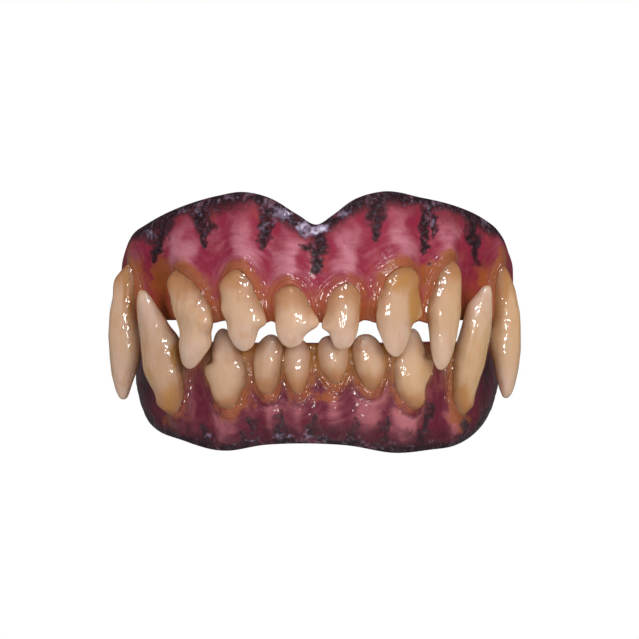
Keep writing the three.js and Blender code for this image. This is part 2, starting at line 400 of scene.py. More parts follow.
def polish(bm, rows):
    row_of = bm.verts.layers.int["row"]
    chosen = [vert for vert in bm.verts if vert[row_of] in rows and not vert.is_boundary]
    for _ in range(CORNER_PASSES):
        bmesh.ops.smooth_vert(
            bm, verts=chosen, factor=0.5, use_axis_x=True, use_axis_y=True, use_axis_z=True
        )
    return len(chosen)


for plate in (UPPER, LOWER):
    rows = {*range(CORNER_ROWS), *range(FACE_ROWS - CORNER_ROWS, plate["rows"])}
    print(plate["name"], "polished points:", polish(gums[plate["name"]], rows))

# %% [markdown]
# ### Margins, wrinkles and papillae
# The gum laps onto each tooth in a soft rolled collar, with broken ridges and pebbles round it, and it runs
# down between the teeth. All of this depends on the distance to the nearest tooth, so a search tree over the
# teeth of a plate gives that distance for every point of the face. Noise breaks the ridges, as a tool would.
# The biting edge is polished once more, because the relief ends there.

# %% Measure how far the gum is from the teeth
REFERENCE_OUT = FACE_OUT + 0.2


def tooth_tree(jaw):
    places, faces = [], []
    for name, bm in teeth.items():
        if name.startswith(jaw):
            first = len(places)
            bm.verts.index_update()
            places += [vert.co.copy() for vert in bm.verts]
            faces += [[first + vert.index for vert in face.verts] for face in bm.faces]
    return BVHTree.FromPolygons(places, faces)


def tooth_distance(tree, place):
    near, normal, _, distance = tree.find_nearest(place)
    return distance if (place - near).dot(normal) > 0 else -distance


def face_points(plate, bm):
    """The points of the painted face with their station, share of its height and distance to a tooth."""
    tree = tooth_tree(plate["name"])
    column_of, row_of = bm.verts.layers.int["column"], bm.verts.layers.int["row"]
    points = [vert for vert in bm.verts if vert[row_of] <= FACE_ROWS]
    station = np.array([vert[column_of] for vert in points]) / COLUMNS * 2 * GRID_END - GRID_END
    share = np.array([vert[row_of] for vert in points]) / FACE_ROWS
    x, y = arch_place(plate, station, REFERENCE_OUT)
    reference = [Vector((a, b, vert.co.z)) for a, b, vert in zip(x, y, points)]
    distance = np.array([tooth_distance(tree, place) for place in reference])
    return points, station, share, distance


faces = {plate["name"]: face_points(plate, gums[plate["name"]]) for plate in (UPPER, LOWER)}
print("face points:", {name: len(found[0]) for name, found in faces.items()})

# %% Model the margins
LIP_AT, LIP_SPREAD = 0.35, 1.3
CLIMB, CLIMB_SPREAD = 0.4, 0.4
RELIEF = {
    "upper": dict(lip=0.14, flank=0.90, ridge=0.05, pebble=0.06, wave=0.16, lump=0.03, creep=0.9),
    "lower": dict(lip=0.16, flank=0.50, ridge=0.03, pebble=0.14, wave=0.12, lump=0.12, creep=0.2),
}


def noise_at(places, scale, seed):
    shift = Vector((seed * 5.7, seed * 2.3, seed * 9.1))
    return np.array([noise.noise(place * scale + shift) for place in places])


def model_margins(plate):
    points, station, share, distance = faces[plate["name"]]
    relief = RELIEF[plate["name"]]
    places = [vert.co.copy() for vert in points]
    broad, middle, fine = (noise_at(places, scale, seed) for seed, scale in enumerate((0.22, 0.7, 1.5)))
    low_part = 1 - smooth_step(share, 0.12, 0.55)
    height = (relief["lip"] + relief["flank"] * low_part) * (1 + 0.5 * broad)
    height *= 1 - 0.8 * smooth_step(np.abs(station), 46, 56)
    lip = height * bell(np.maximum(distance - LIP_AT, 0), LIP_SPREAD + 0.7 * low_part)
    climb = CLIMB * (0.3 + 0.7 * low_part) * bell(np.maximum(distance, 0), CLIMB_SPREAD)
    change = (lip + climb) * smooth_step(distance, -1.0, -0.4)
    off_edge = smooth_step(share, 0.01, 0.07) * (1 - smooth_step(share, 0.93, 0.99))
    for seed, (place, spread) in enumerate(((0.7, 0.2), (1.2, 0.22), (1.8, 0.25))):
        broken = smooth_step(noise_at(places, 0.9, 5 + seed), -0.05, 0.3)
        change += off_edge * relief["ridge"] * broken * bell(distance - place - 0.6 * middle, spread)
    change += off_edge * relief["pebble"] * fine * bell(np.maximum(distance - 0.8, 0), 1.2)
    change += off_edge * (relief["wave"] * broad + relief["lump"] * middle)
    change -= 0.9 * smooth_step(-distance, 0.6, 1.3)
    change -= 0.45 * (1 - smooth_step(share, 0.0, 0.14))
    creep = relief["creep"] * bell(np.maximum(distance, 0), 1.1) * (1 - smooth_step(share, 0.0, 0.32))
    start_x, start_y = arch_place(plate, station, 0.0)
    one_x, one_y = arch_place(plate, station, 1.0)
    for vert, out_x, out_y, amount, down in zip(points, one_x - start_x, one_y - start_y, change, creep):
        vert.co += Vector((out_x * amount, out_y * amount, -plate["up"] * down))
    return change


for plate in (UPPER, LOWER):
    change = model_margins(plate)
    lowest, highest = (round(float(end), 2) for end in (change.min(), change.max()))
    print(plate["name"], "relief from", lowest, "to", highest, "mm")
    biting_edge = {*range(CORNER_ROWS), *range(plate["rows"] - 2 * CORNER_ROWS, plate["rows"])}
    polish(gums[plate["name"]], biting_edge)

# %% [markdown]
# ### Closed ends
# The two ends of the channel are still open, and their last column wasn't polished. It takes over the
# section of the column before it. Extruding the end loop a few times, each time further along the arch and
# further in, rolls the edge over, and a flat fill closes it.

# %% Roll the ends over and close them
END_ROUND = 0.15
END_STEPS = 3


def take_over_section(edges, along):
    for vert in {vert for edge in edges for vert in edge.verts}:
        before = next(edge.other_vert(vert) for edge in vert.link_edges if not edge.is_boundary)
        vert.co = before.co + along * (vert.co - before.co).dot(along)


def close_end(bm, edges, along):
    loop = {vert: vert.normal.copy() for edge in edges for vert in edge.verts}
    for step in range(END_STEPS):
        turns = [math.radians(90 * k / END_STEPS) for k in (step, step + 1)]
        further = END_ROUND * (math.sin(turns[1]) - math.sin(turns[0]))
        inward = END_ROUND * (math.cos(turns[0]) - math.cos(turns[1]))
        made = bmesh.ops.extrude_edge_only(bm, edges=edges)["geom"]
        edges = [part for part in made if isinstance(part, bmesh.types.BMEdge)]
        new_loop = {}
        for vert in (part for part in made if isinstance(part, bmesh.types.BMVert)):
            source = next(edge.other_vert(vert) for edge in vert.link_edges if edge.other_vert(vert) in loop)
            vert.co = source.co + along * further - loop[source] * inward
            new_loop[vert] = loop[source]
        loop = new_loop
    bmesh.ops.triangle_fill(bm, use_beauty=True, use_dissolve=False, edges=edges, normal=along)


def close_ends(plate, bm):
    for side in (-1, 1):
        edges = [edge for edge in bm.edges if edge.is_boundary and edge.verts[0].co.x * side > 0]
        first, last = (Vector((*arch_place(plate, side * (GRID_END - k), 0.0), 0)) for k in (1, 0))
        along = (last - first).normalized()
        take_over_section(edges, along)
        bm.normal_update()
        close_end(bm, edges, along)
    bmesh.ops.recalc_face_normals(bm, faces=bm.faces)
    return sum(edge.is_boundary for edge in bm.edges)


for plate in (UPPER, LOWER):
    print(plate["name"], "open edges left:", close_ends(plate, gums[plate["name"]]))

# %% [markdown]
# ## Where the paint goes
# The painter works from the front: dark pigment comes down from the rim in tapering strokes, pale pink lies
# over the roots, and brown stain is washed round the necks. Painted shade darkens the sides, the rim, the
# biting edge, a small pit and, with brown stain, the gaps; grey-blue flecks, partly paint and partly painted
# reflection, and a painted highlight on the notch lie under the rim. The charts are short and in front view,
# in
# millimetres: a stroke has two ends with a half width each, and a patch a middle, two half sizes and a
# strength. Noise moves each point a little on the chart, so no edge is ruled. Every point of the face then
# gets eight weights, which the gum's finish reads.

# %% Chart how strong the pinks and stains are
LOW_STAIN = {"upper": 0.55, "lower": 0.5}
PALE_SPREAD = {"upper": 0.7, "lower": 0.6}
PALE_STRENGTH = {
    "upper": (
        (-80, 0.5), (-64, 0.6), (-39, 0.75), (-20, 0.7), (-6.4, 0.85), (7.3, 0.95), (21.7, 0.75), (37, 0.55),
        (62, 0.5), (80, 0.4),
    ),
    "lower": (
        (-80, 0.3), (-45, 0.8), (-26, 0.8), (-13, 0.45), (-5, 0.5), (4.4, 0.5), (14.6, 0.65), (26, 1.3),
        (45, 0.9), (80, 0.3),
    ),
}
STAIN_STRENGTH = {
    "upper": (
        (-80, 0.7), (-64, 0.9), (-39, 1.0), (-20, 0.75), (-6.4, 0.35), (7.3, 0.3), (21.7, 0.75), (37, 1.0),
        (62, 1.0), (80, 0.7),
    ),
    "lower": (
        (-80, 0.3), (-45, 0.4), (-26, 0.5), (-13, 0.6), (-5, 0.5), (4.4, 0.7), (14.6, 0.55), (26, 0.35),
        (45, 0.9), (80, 0.4),
    ),
}
print("stations charted:", {name: len(rows) for name, rows in STAIN_STRENGTH.items()})

# %% Chart the patches of flecks with painted reflection, and of stain
FLECK_AND_REFLECTION_PATCHES = {
    "upper": (
        (0.0, 16.2, 2.6, 1.0, 4.8), (-2.2, 16.8, 1.4, 0.9, 5.0), (-5.0, 18.6, 3.0, 1.6, 2.8),
        (-27.2, 15.6, 1.4, 1.2, 2.2), (-14.0, 21.4, 2.4, 0.9, 1.8), (4.2, 18.9, 1.8, 1.4, 2.0),
        (14.3, 20.6, 0.8, 0.9, 1.8), (18.6, 17.4, 0.9, 1.6, 1.8), (-19.2, 19.0, 0.8, 0.7, 1.6),
        (-8.4, 16.5, 1.2, 2.5, 1.2), (23.6, 18.6, 1.4, 0.5, 1.6),
    ),
    "lower": (
        (-17.6, -16.9, 1.0, 1.1, 2.2), (-10.6, -17.2, 1.4, 0.7, 2.4), (-5.6, -16.8, 1.4, 1.0, 2.4),
        (-1.4, -16.4, 1.1, 0.7, 2.2), (1.4, -17.2, 1.0, 0.7, 2.0), (13.0, -17.8, 2.2, 0.6, 2.2),
        (18.4, -17.4, 1.6, 0.6, 1.8), (10.4, -18.3, 1.6, 0.4, 1.6), (27.0, -11.5, 1.0, 3.0, 1.4),
    ),
}
STAIN_PATCHES = {
    "upper": (
        (-24.8, 8.6, 2.4, 3.6, 0.9), (17.6, 9.2, 2.0, 2.8, 0.85), (31.4, 11.0, 2.8, 4.2, 1.1),
        (-31.8, 11.2, 2.2, 3.6, 1.0), (-28.4, 9.0, 1.6, 4.0, 0.6), (26.5, 9.0, 1.6, 2.6, 0.7),
    ),
    "lower": (
        (-12.6, -11.4, 2.8, 1.4, 0.9), (1.6, -10.4, 3.0, 1.0, 0.65), (22.8, -14.4, 2.2, 1.6, 0.9),
        (-23.6, -13.8, 1.6, 2.0, 0.35),
    ),
}
print("patches of stain:", {name: len(rows) for name, rows in STAIN_PATCHES.items()})

# %% Chart the strokes of pigment
STROKES = {
    "upper": (
        (-24.2, 18.2, 1.9, -25.0, 14.6, 1.3), (-25.0, 14.6, 1.3, -26.2, 11.2, 0.6),
        (-27.8, 16.4, 1.0, -26.4, 14.9, 1.0), (-18.6, 19.2, 1.8, -18.0, 16.6, 1.5),
        (-18.0, 16.6, 1.5, -17.9, 13.8, 0.7), (-8.2, 20.0, 1.4, -8.4, 16.0, 1.3),
        (-8.4, 16.0, 1.3, -8.6, 14.0, 0.8), (-6.5, 19.2, 1.6, -2.0, 16.6, 1.3),
        (0.2, 15.4, 1.6, 0.6, 13.0, 1.3), (0.1, 12.5, 0.9, -0.1, 9.6, 0.75),
        (-1.5, 13.6, 0.9, -0.5, 12.4, 1.0), (9.6, 21.4, 2.3, 9.4, 18.4, 1.7),
        (9.4, 18.4, 1.7, 9.4, 15.4, 0.8), (17.9, 20.4, 1.6, 17.0, 16.6, 0.9),
        (17.0, 16.6, 0.9, 17.2, 12.9, 0.55), (18.8, 18.0, 0.8, 19.0, 15.6, 0.6),
        (25.0, 18.4, 1.6, 25.0, 15.4, 1.2), (25.0, 15.4, 1.2, 25.8, 10.8, 0.4),
    ),
    "lower": (
        (-18.2, -15.4, 1.0, -17.4, -17.6, 1.5), (-11.8, -16.8, 1.0, -9.6, -17.6, 1.3),
        (-10.4, -14.4, 0.9, -10.2, -15.4, 0.9), (-6.0, -13.8, 1.0, -5.8, -17.4, 1.6),
        (-0.4, -13.8, 0.9, -1.2, -17.2, 1.6), (6.0, -14.6, 0.9, 5.4, -17.6, 1.7),
        (11.2, -14.2, 0.8, 10.4, -17.8, 1.4), (18.4, -12.4, 0.8, 16.4, -17.2, 1.0),
        (24.0, -15.0, 0.8, 23.0, -16.6, 1.0),
    ),
}
STROKE_LOAD = {"upper": 1.0, "lower": 0.8}
RIM_BAND = {
    "upper": (
        (-34, 0.9), (-29, 2.2), (-27, 3.4), (-24, 3.0), (-22, 1.6), (-20, 2.0), (-18, 2.5), (-15, 2.9),
        (-12, 2.7), (-10.5, 1.8), (-9, 2.3), (-7, 2.8), (-4, 2.6), (-2, 2.2), (0, 2.6), (2, 2.2), (4, 2.2),
        (8, 2.5), (12, 2.1), (14.3, 2.2), (16.3, 1.2), (18, 1.9), (21, 1.3), (23, 1.5), (25, 2.1), (28, 2.7),
        (30, 1.6), (34, 0.7),
    ),
    "lower": (
        (-32, 10.0), (-28.4, 5.6), (-26, 1.6), (-22, 1.2), (-18, 1.8), (-14, 1.2), (-10.6, 1.6), (-8, 0.8),
        (-5.6, 1.8), (-3, 0.9), (-1.4, 1.6), (1.4, 1.6), (3, 0.9), (5.8, 2.0), (8, 0.8), (10.6, 1.8),
        (13, 1.6), (18.5, 1.6), (22, 1.2), (25, 1.6), (27.5, 5.0), (32, 10.0),
    ),
}
# A small pit, painted as a dark dot of shade rather than modelled
PAINTED_PIT_SHADE = (18.0, 10.8, 0.22)
print("strokes:", {name: len(rows) for name, rows in STROKES.items()})

# %% Weigh every point of the face
EYE = Vector((0.4, -460.0, 1.92))
VIEW_DISTANCE = 450.0
WOBBLE = 0.9


def stroke_weight(x, z, stroke):
    x0, z0, width0, x1, z1, width1 = stroke
    run, drop = x1 - x0, z1 - z0
    share = np.clip(((x - x0) * run + (z - z0) * drop) / (run * run + drop * drop), 0, 1)
    distance = np.hypot(x - x0 - share * run, z - z0 - share * drop)
    width = width0 + (width1 - width0) * share
    return 1 - smooth_step(distance / width, 0.1, 1.5)


def patch_weight(x, z, patch):
    patch_x, patch_z, half_width, half_height, strength = patch
    return strength * bell(np.hypot((x - patch_x) / half_width, (z - patch_z) / half_height), 0.8)


def chart_paint(plate):
    points, station, share, distance = faces[plate["name"]]
    height = plate["up"] * np.array([vert.co.z for vert in points])
    below_rim = smooth_through(plate["rim"], station) - height
    # The place of each point as the painter sees it from the front, moved a little by noise
    sight = [EYE + (vert.co - EYE) * VIEW_DISTANCE / (vert.co.y - EYE.y) for vert in points]
    wobble = [WOBBLE * (noise_at(sight, 0.6, seed) + 0.6 * noise_at(sight, 1.5, seed)) for seed in (3, 4)]
    x, z = np.array(sight).T[[0, 2]] + wobble
    # The pigment is a band under the rim and the strokes, and a dark dot is painted shade for one small pit
    band = np.interp(x, *np.array(RIM_BAND[plate["name"]]).T)
    pigment = 1 - smooth_step(below_rim / band, 0.3, 1.7)
    for stroke in STROKES[plate["name"]]:
        pigment = np.maximum(pigment, STROKE_LOAD[plate["name"]] * stroke_weight(x, z, stroke))
    pit = np.array([math.hypot(place.x - PAINTED_PIT_SHADE[0], place.z - PAINTED_PIT_SHADE[1]) for place in sight]) / PAINTED_PIT_SHADE[2]
    pigment = np.maximum(pigment, 1.8 * (1 - smooth_step(pit, 0.6, 1.2))) if plate is UPPER else pigment
    # Grey flecks under the rim and at the notch are partly paint and partly painted reflection
    fleck_and_reflection = 0.7 * (1 - smooth_step(below_rim, 1.0, 3.0))
    for patch in FLECK_AND_REFLECTION_PATCHES[plate["name"]]:
        fleck_and_reflection = np.maximum(fleck_and_reflection, patch_weight(x, z, patch))
    # The brown stain lies round the necks; in the gaps and hollows the depth weight marks brown stain with
    # painted shade
    outside = np.maximum(distance, 0)
    strength = smooth_through(STAIN_STRENGTH[plate["name"]], station)
    low_stain = LOW_STAIN[plate["name"]] * (1 - smooth_step(share, 0.05, 0.36))
    stain = np.maximum(strength * bell(outside, 1.4), low_stain)
    for patch in STAIN_PATCHES[plate["name"]]:
        stain = np.maximum(stain, patch_weight(x, z, patch) * (1 - smooth_step(np.abs(station), 64, 74)))
    hollow = sum((bell(station - place, spread) for place, _, spread in plate["hollows"]), 0 * station)
    # Brown stain and painted shade in the gaps and hollows
    depth = (1 - smooth_step(share, 0.15, 0.5)) * np.maximum(hollow, 0.95 * bell(outside, 2.0))
    # The pinks lie over the roots, and painted shade darkens the sides, the rim and the biting edge
    swerve = station + 5.0 * noise_at(sight, 0.3, 6)
    spread = PALE_SPREAD[plate["name"]]
    ridge = np.clip(sum(bell(swerve - root, spread * width) for root, width in plate["roots"]), 0, 1)
    pale = ridge * smooth_step(outside, 0.6, 1.9) * (1 - 0.6 * smooth_step(outside, 3.5, 8.0))
    pale = pale * smooth_through(PALE_STRENGTH[plate["name"]], station)
    # Painted shade: the weight is high on the sides, under the rim and at the biting edge
    shade = np.maximum(smooth_step(np.abs(station), 46, 66), 1 - smooth_step(below_rim, 1.0, 6.5))
    shade = np.maximum(shade, 1 - smooth_step(share, 0.0, 0.06))
    return points, dict(
        painted=np.ones_like(share), pigment=pigment, fleck_and_reflection=fleck_and_reflection, stain=stain, depth=depth, pale=pale,
        margin=np.clip(distance, -1.0, 6.0), shade=shade,
    )


for plate in (UPPER, LOWER):
    bm = gums[plate["name"]]
    points, weights = chart_paint(plate)
    for title, values in weights.items():
        layer = bm.verts.layers.float[title]
        for vert, value in zip(points, values):
            vert[layer] = float(value)
    print(plate["name"], "mean pigment:", round(float(weights["pigment"].mean()), 2))

# %% [markdown]
# A second map follows the surface: its first coordinate runs along the arch and its second up the face, in
# centimetres. Brush marks are noise that is stretched along that map, so they bend with the gum.

# %% Lay a map along the gum
ARCH_MM_PER_DEGREE = 0.68


def lay_map(bm):
    column_of = bm.verts.layers.int["column"]
    uv = bm.loops.layers.uv.new("brush")
    for face in bm.faces:
        for loop in face.loops:
            station = loop.vert[column_of] / COLUMNS * 2 * GRID_END - GRID_END
            loop[uv].uv = (station * ARCH_MM_PER_DEGREE / 10, loop.vert.co.z / 10)


for bm in gums.values():
    lay_map(bm)
print("brush maps laid on", len(gums), "plates")

# %% [markdown]
# ## The teeth's colour weights
# Each tooth is amber at its neck and paler, pinkish grey at its tip, where the acrylic is thin. Its flanks
# get a brighter amber, partly the tint of the acrylic and partly painted light that lifts the shade on its
# sides. One weight runs from 0 at the neck to 1 at the tip, and others mark the neck, the flanks, the line
# of the gum, the warmer right side and the duller teeth, whose darker tone is partly painted shade. Some
# teeth also have ochre stains, charted in front view by a middle and two half sizes.

# %% Weigh the teeth from neck to tip
OCHRE = {
    "upper_canine_left": ((-32.0, 6.0, 0.9, 5.0),),
    "upper_canine_right": ((31.5, 7.0, 0.8, 3.5),),
    "upper_middle_incisor_right": ((15.7, 4.2, 1.1, 4.0), (12.6, 9.2, 2.8, 2.6)),
    "lower_canine_left": ((-23.6, -4.2, 0.8, 2.2), (-23.7, -11.2, 1.7, 3.0)),
    "lower_middle_incisor_right": ((7.4, -8.4, 0.6, 1.2),),
    "lower_canine_right": ((22.8, -11.6, 2.5, 3.6), (21.4, -7.0, 0.8, 4.0)),
}
# How dull each tooth is: a greyer tone and, on the recessed lower incisors, painted shade
DULL_AND_SHADED = {
    "upper_canine_left": 0.1,
    "upper_central_incisor_right": 0.45,
    "upper_middle_incisor_right": 0.45,
    "upper_corner_incisor_right": 0.2,
    "lower_canine_left": 0.6,
    "lower_corner_incisor_left": 0.2,
    "lower_middle_incisor_left": 0.7,
    "lower_central_incisor_left": 0.8,
    "lower_central_incisor_right": 0.65,
    "lower_middle_incisor_right": 0.3,
}
GUMLINE_SPREAD = 1.3
NECK_REACH = {"upper": (1.0, 7.0), "lower": (0.8, 5.0)}
gum_skins = {name: BVHTree.FromBMesh(bm) for name, bm in gums.items()}


def weigh_tooth(name, bm):
    heights = [vert.co.z for vert in bm.verts]
    neck, tip = (max(heights), min(heights)) if name.startswith("upper") else (min(heights), max(heights))
    tipward = bm.verts.layers.float.new("tipward")
    necked = bm.verts.layers.float.new("neck")
    flank = bm.verts.layers.float.new("flank")
    ochre = bm.verts.layers.float.new("ochre")
    gumline = bm.verts.layers.float.new("gumline")
    warmth = bm.verts.layers.float.new("warmth")
    dull_and_shaded = bm.verts.layers.float.new("dull_and_shaded")
    jaw = name.split("_")[0]
    skin = gum_skins[jaw]
    for vert in bm.verts:
        vert[tipward] = (vert.co.z - neck) / (tip - neck)
        vert[necked] = 1 - float(smooth_step(abs(vert.co.z - neck), *NECK_REACH[jaw]))
        # The flank weight carries amber tint and painted light that lifts the shade on the tooth's sides
        vert[flank] = 1 - float(smooth_step(-vert.normal.y, 0.1, 0.75))
        vert[gumline] = math.exp(-skin.find_nearest(vert.co)[3] / GUMLINE_SPREAD)
        vert[warmth] = float(smooth_step(vert.co.x, -12.0, 28.0))
        vert[dull_and_shaded] = DULL_AND_SHADED.get(name, 0.0)
        for x, z, half_width, half_height in OCHRE.get(name, ()):
            reach = math.hypot((vert.co.x - x) / half_width, (vert.co.z - z) / half_height)
            vert[ochre] = max(vert[ochre], (1 - min(1.0, reach / 1.6) ** 2) ** 2)


for name, bm in teeth.items():
    weigh_tooth(name, bm)
print("stained teeth:", sorted(OCHRE))

# %% [markdown]
# ## Pieces
# Every bmesh becomes an object at the origin, back in metres, that rides on the one body of the part and
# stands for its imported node. Smooth shading suits them all, because no edge on them is sharp.

# %% Turn the shapes into pieces
def make_piece(bm, node_name):
    bmesh.ops.scale(bm, vec=(MM,) * 3, verts=bm.verts)
    mesh = bpy.data.meshes.new(node_name + "_finish")
    for counter in list(bm.verts.layers.int):
        bm.verts.layers.int.remove(counter)
    bm.to_mesh(mesh)
    bm.free()
    mesh.polygons.foreach_set("use_smooth", [True] * len(mesh.polygons))
    piece = bpy.data.objects.new(node_name + "_finish", mesh)
    bpy.context.scene.collection.objects.link(piece)
    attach(piece, "root")
    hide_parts(node_name)
    return piece


tooth_pieces = [make_piece(bm, name) for name, bm in teeth.items()]
gum_pieces = {name: make_piece(bm, name + "_gum_plate") for name, bm in gums.items()}
print("pieces:", len(tooth_pieces) + len(gum_pieces))

# %% [markdown]
# ## Finishes
# A finish is a small tree of nodes. These helpers keep the trees short: each adds one node and gives back
# its output, so a finish reads as a list of coats of paint.

# %% Helpers for finishes


def colour(red, green, blue):
    """A colour as a painter's chart gives it, from 0 to 255, in Blender's linear light."""
    parts = [part / 255 for part in (red, green, blue)]
    return [part / 12.92 if part <= 0.04045 else ((part + 0.055) / 1.055) ** 2.4 for part in parts] + [1.0]


class Finish:
    """A material whose nodes are added one coat at a time."""

    def __init__(self, name):
        self.material = bpy.data.materials.new(name)
        self.material.use_nodes = True
        self.nodes = self.material.node_tree.nodes
        self.links = self.material.node_tree.links
        self.shader = self.nodes["Principled BSDF"]
        self.coords = self.nodes.new("ShaderNodeTexCoord")

    def plug(self, socket, value):
        if isinstance(value, bpy.types.NodeSocket):
            self.links.new(value, socket)
        else:
            socket.default_value = value

    def weight(self, name):
        node = self.nodes.new("ShaderNodeAttribute")
        node.attribute_name = name
        return node.outputs["Fac"]

    def spread(self, source, scale):
        node = self.nodes.new("ShaderNodeMapping")
        self.links.new(source, node.inputs["Vector"])
        node.inputs["Scale"].default_value = scale
        return node.outputs["Vector"]

    def follow(self, source, scale, weight):
        """Places that also move on with a weight, so that noise there runs along lines of equal weight."""
        node = self.nodes.new("ShaderNodeVectorMath")
        node.operation = "MULTIPLY_ADD"
        self.links.new(source, node.inputs[0])
        node.inputs[1].default_value = (scale,) * 3
        self.links.new(weight, node.inputs[2])
        return node.outputs["Vector"]

    def speckle(self, vector, scale, detail=3.0, rough=0.55):
        node = self.nodes.new("ShaderNodeTexNoise")
        self.links.new(vector, node.inputs["Vector"])
        node.inputs["Scale"].default_value = scale
        node.inputs["Detail"].default_value = detail
        node.inputs["Roughness"].default_value = rough
        return node.outputs["Fac"]

    def sums(self, how, first, second):
        node = self.nodes.new("ShaderNodeMath")
        node.operation = how
        self.plug(node.inputs[0], first)
        self.plug(node.inputs[1], second)
        return node.outputs[0]

    def swing(self, value):
        """A noise that swings about evenly to both sides of nought, seldom past one."""
        return self.total((value, 4.0), (1.0, -2.0))

    def total(self, *shares):
        """The sum of some values, each by its own factor."""
        whole = 0.0
        for value, factor in shares:
            node = self.nodes.new("ShaderNodeMath")
            node.operation = "MULTIPLY_ADD"
            self.plug(node.inputs[0], value)
            node.inputs[1].default_value = factor
            self.plug(node.inputs[2], whole)
            whole = node.outputs[0]
        return whole

    def step(self, value, low, high, to_low=0.0, to_high=1.0):
        node = self.nodes.new("ShaderNodeMapRange")
        node.interpolation_type = "SMOOTHSTEP"
        self.plug(node.inputs["Value"], value)
        limits = {"From Min": low, "From Max": high, "To Min": to_low, "To Max": to_high}
        for title, number in limits.items():
            node.inputs[title].default_value = number
        return node.outputs["Result"]

    def coat(self, under, over, cover):
        node = self.nodes.new("ShaderNodeMix")
        node.data_type = "RGBA"
        self.plug(node.inputs["Factor"], cover)
        self.plug(node.inputs["A"], under)
        self.plug(node.inputs["B"], over)
        return node.outputs["Result"]

    def relief(self, height, depth):
        node = self.nodes.new("ShaderNodeBump")
        node.inputs["Distance"].default_value = depth
        self.links.new(height, node.inputs["Height"])
        return node.outputs["Normal"]

    def settle(self, **values):
        for title, value in values.items():
            self.plug(self.shader.inputs[title.replace("_", " ")], value)


print("middle grey in linear light:", round(colour(128, 128, 128)[0], 3))

# %% [markdown]
# ### Painted gum
# The gum is deep rose acrylic. Paler pink is dry-brushed over the roots in strokes that bend round the
# teeth, a brown wash sits round the necks, brown stain with painted shade fills the gaps, and black pigment
# with maroon clouds and grey-blue flecks, partly painted reflection, comes down from the rim. A pale painted
# highlight sits on the notch, and painted shade darkens the sides, the rim and the biting edge. A clear
# varnish is thick near the teeth. Its own relief, in rings and beads, is apart from that of the paint, so it
# gives small sharp glints and leaves the colour smooth.

# %% Mix the gum finish
BROWN_WASH = colour(120, 62, 25)
BLACK_PIGMENT, BROWN_PIGMENT, SMOKE = colour(18, 12, 16), colour(92, 36, 46), colour(80, 66, 78)
# Grey flecks are partly paint and partly painted reflection; the pale one is a painted highlight
GREY_FLECK_AND_REFLECTION, PAINTED_PALE_HIGHLIGHT = colour(136, 122, 146), colour(206, 200, 220)
PLAIN_ACRYLIC = colour(176, 92, 100)


